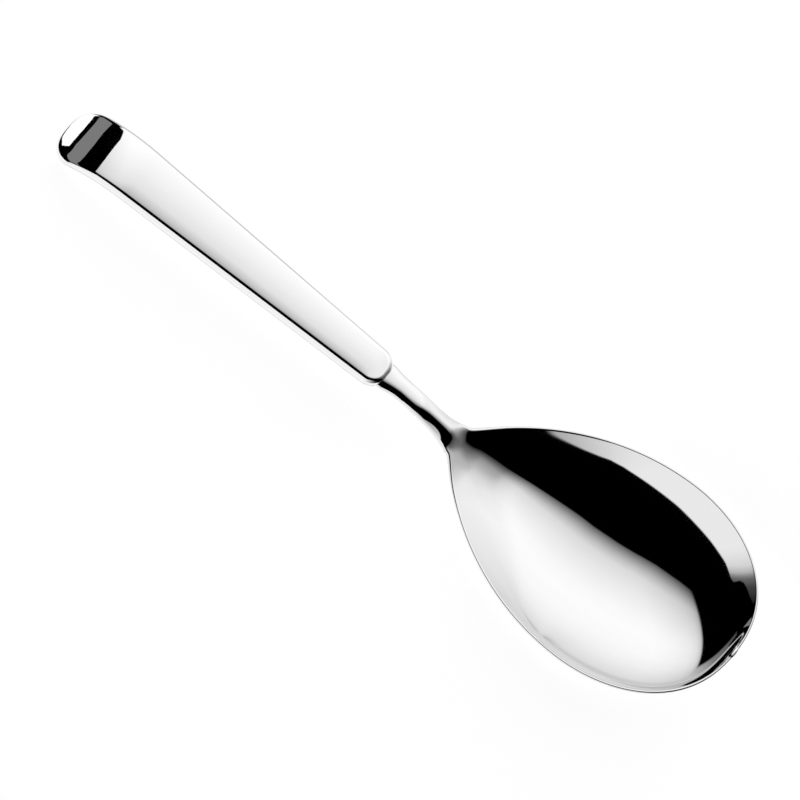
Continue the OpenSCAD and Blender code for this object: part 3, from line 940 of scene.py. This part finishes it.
# A small card that stands beyond the handle's end: dark, with a grey stripe and a white foot. Each
# part is its glow, how far it lies before the dark one, and its corners as (y, z).
END_CARD_X = -0.155
END_CARD_LAYER = 0.0002
DARK = 0.0
STRIPE_GLOW = 0.21
FOOT_GLOW = 1.2
END_CARD = [
    (DARK, 0, [
        (-0.06, 0.0), (0.06, 0.0), (0.09, 0.0165), (0.09, 0.0378), (0.056, 0.046), (0.051, 0.056),
        (0.047, 0.064), (0.043, 0.0705), (0.032, 0.0727), (0.02, 0.0762), (0.009, 0.079),
        (-0.003, 0.0805), (-0.06, 0.0805),
    ]),
    (STRIPE_GLOW, END_CARD_LAYER, [
        (-0.045, 0.0225), (-0.003, 0.0233), (0.004, 0.0219), (0.008, 0.0195), (0.016, 0.019),
        (0.024, 0.0202), (0.036, 0.0213), (0.036, 0.0375), (0.026, 0.038), (0.016, 0.0404),
        (0.006, 0.0414), (-0.028, 0.0391), (-0.045, 0.0385),
    ]),
    (FOOT_GLOW, END_CARD_LAYER, [
        (0.014, 0.0), (0.034, 0.0), (0.034, 0.0165), (0.022, 0.016), (0.018, 0.0147), (0.013, 0.0142),
        (0.009, 0.0148), (0.006, 0.016), (0.0055, 0.0125), (0.008, 0.0092), (0.0115, 0.0036),
    ]),
]
# A dark strip on the floor before that card, which is painted shade at the card's foot that only the
# steel mirrors, and a grey sheet on the floor on the far side of the handle, each as its glow and its
# corners as (x, y)
SHEET_GLOW = 0.55
SHEET_LIFT = 0.0003
FLOOR_SHEETS = [
    # painted shade: a dark strip standing for the shade before the card, seen only in the steel
    (DARK, [(END_CARD_X, -0.06), (-0.138, -0.06), (-0.138, 0.014), (END_CARD_X, 0.014)]),
    (SHEET_GLOW, [(-1.2, 0.035), (-0.05, 0.035), (0.02, 0.12), (0.06, 0.5), (0.06, 1.5), (-1.2, 1.5)]),
]


def make_small_cards():
    """The cards round the handle's end, which only the steel mirrors."""
    cards = []
    for glow, before, outline in END_CARD:
        cards.append((glow, [(END_CARD_X + before, y, z) for y, z in outline]))
    for glow, outline in FLOOR_SHEETS:
        cards.append((glow, [(x, y, SHEET_LIFT) for x, y in outline]))
    for glow, corners in cards:
        material, _, _, _ = emission("end_card", glow)
        card = make_card("end_card", corners, [tuple(range(len(corners)))], material)
        card.visible_shadow = False
        card.visible_diffuse = False


def seen_directly(nodes, links):
    """1 for camera, glossy and transmission rays, else 0."""
    path = nodes.new("ShaderNodeLightPath").outputs
    wiring = Wiring(nodes, links)
    either = wiring.math("MAXIMUM", path["Is Camera Ray"], path["Is Glossy Ray"])
    return wiring.math("MAXIMUM", either, path["Is Transmission Ray"])


# The floor, in metres. Its lift is the light that it gives off where it is seen directly.
FLOOR_COLOUR = 0.35
FLOOR_ROUGHNESS = 0.9
FLOOR_LIFT = 0.835
FLOOR_SIDE = 4.0


def make_floor():
    material, nodes, links, shader = new_material("pale_floor")
    shader.inputs["Base Color"].default_value = (FLOOR_COLOUR, FLOOR_COLOUR, FLOOR_COLOUR, 1)
    shader.inputs["Roughness"].default_value = FLOOR_ROUGHNESS
    shader.inputs["Specular IOR Level"].default_value = 0
    shader.inputs["Emission Color"].default_value = (1, 1, 1, 1)
    lift = Wiring(nodes, links).math("MULTIPLY", seen_directly(nodes, links), FLOOR_LIFT)
    links.new(lift, shader.inputs["Emission Strength"])
    mesh = bpy.data.meshes.new("floor")
    half = FLOOR_SIDE / 2
    corners = [(-half, -half, 0), (half, -half, 0), (half, half, 0), (-half, half, 0)]
    mesh.from_pydata(corners, [], [(0, 1, 2, 3)])
    mesh.materials.append(material)
    floor = bpy.data.objects.new("floor", mesh)
    bpy.context.collection.objects.link(floor)


def make_world():
    world = bpy.data.worlds.new("studio")
    bpy.context.scene.world = world
    world.use_nodes = True
    nodes = world.node_tree.nodes
    links = world.node_tree.links
    background = nodes["Background"]
    background.inputs["Color"].default_value = (1, 1, 1, 1)
    links.new(seen_directly(nodes, links), background.inputs["Strength"])


# The camera, in metres, and its sensor in millimetres. CAMERA_TILT and FRAME_LEAN are how far it
# leans from straight overhead, to the near side and along the spoon. LOOK_ALONG and LOOK_UP are how
# far the picture's middle lies from the frame's origin.
CAMERA_TILT = np.radians(20)
FRAME_LEAN = np.radians(-0.36)
CAMERA_ROLL = np.radians(39.5)
CAMERA_DISTANCE = 4.0
SHOWN_WIDTH = 0.2354
SENSOR = 36
LOOK_ALONG = 0.00176
LOOK_UP = 0.00151


def make_camera():
    """The photograph's camera: nearly overhead, a little to the near side, and rolled."""
    lean = np.array([np.cos(FRAME_LEAN), 0, np.sin(FRAME_LEAN)])
    lean_z = np.array([-lean[2], 0, lean[0]])
    side = np.array([0, 1.0, 0])
    level_up = np.cos(CAMERA_TILT) * side + np.sin(CAMERA_TILT) * lean_z
    back = np.cos(CAMERA_TILT) * lean_z - np.sin(CAMERA_TILT) * side
    right = np.cos(CAMERA_ROLL) * lean + np.sin(CAMERA_ROLL) * level_up
    up = np.cos(CAMERA_ROLL) * level_up - np.sin(CAMERA_ROLL) * lean
    target = LOOK_ALONG * lean + LOOK_UP * level_up
    data = bpy.data.cameras.new("camera")
    data.sensor_width = SENSOR
    data.lens = SENSOR * CAMERA_DISTANCE / SHOWN_WIDTH
    camera = bpy.data.objects.new("camera", data)
    bpy.context.collection.objects.link(camera)
    turn = Matrix((right, up, back)).transposed().to_4x4()
    camera.matrix_world = Matrix.Translation(Vector(target + CAMERA_DISTANCE * back)) @ turn
    bpy.context.scene.camera = camera


def dress_cement(node):
    material, _ = grained(
        "cement", CEMENT_DARK, CEMENT_LIGHT, CEMENT_ROUGHNESS, CEMENT_GRAIN, CEMENT_DETAIL)
    node.data.materials.clear()
    node.data.materials.append(material)


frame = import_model()
bpy.context.scene.view_settings.view_transform = "Standard"
make_spoon()
dress_cement(frame["nodes"]["tang_cement"])
make_tent()
make_small_cards()
make_floor()
make_world()
make_camera()
